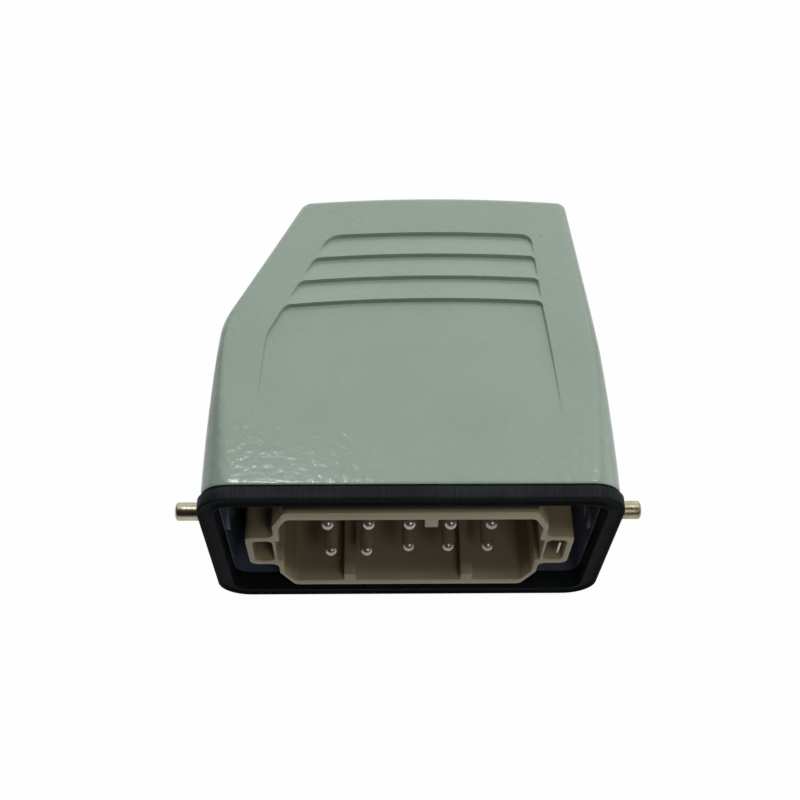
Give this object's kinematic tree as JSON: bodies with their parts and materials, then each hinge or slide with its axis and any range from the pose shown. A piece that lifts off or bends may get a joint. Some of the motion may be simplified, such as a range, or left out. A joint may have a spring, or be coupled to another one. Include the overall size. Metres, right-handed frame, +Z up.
{
  "type": "rectangular multipole connector hood with male insert",
  "caption": "Rectangular heavy-duty connector plug: tapered painted hood with one slanted side and louvred faces, rim seal, locking pegs and male pin insert.",
  "frame": {"origin": "centre of the mating face, on the middle plane between the broad faces", "axes": "-Y out of the mouth, +Y to the far end of the hood, +X along a row of contacts, +Z up, square to the broad faces"},
  "size_m": [0.0858, 0.0678, 0.043],
  "materials": {
    "hood_paint": "grey-green textured powder coat on die-cast aluminium",
    "seal_rubber": "black moulded rubber",
    "peg_steel": "turned stainless steel",
    "insert_plastic": "light grey glass-filled moulding",
    "contact_silver": "silver-plated turned copper alloy",
    "guard_steel": "spring steel",
    "screw_zinc": "zinc-plated steel",
    "earth_metal": "stamped brass sheet"
  },
  "bodies": {
    "root": {"hood_shell": "hood_paint", "rim_gasket": "seal_rubber", "locking_peg_left": "peg_steel", "locking_peg_right": "peg_steel", "insert_body": "insert_plastic", "contact_pin_1": "contact_silver", "contact_pin_2": "contact_silver", "contact_pin_3": "contact_silver", "contact_pin_4": "contact_silver", "contact_pin_5": "contact_silver", "contact_pin_6": "contact_silver", "contact_pin_7": "contact_silver", "contact_pin_8": "contact_silver", "contact_pin_9": "contact_silver", "contact_pin_10": "contact_silver", "wire_guard_1": "guard_steel", "wire_guard_2": "guard_steel", "wire_guard_3": "guard_steel", "wire_guard_4": "guard_steel", "wire_guard_5": "guard_steel", "wire_guard_6": "guard_steel", "wire_guard_7": "guard_steel", "wire_guard_8": "guard_steel", "wire_guard_9": "guard_steel", "wire_guard_10": "guard_steel", "terminal_screws": "screw_zinc", "earth_plate_left": "earth_metal", "earth_plate_right": "earth_metal", "earth_screws": "screw_zinc", "earth_clamps": "screw_zinc", "fixing_screws": "screw_zinc"}
  },
  "joints": []
}
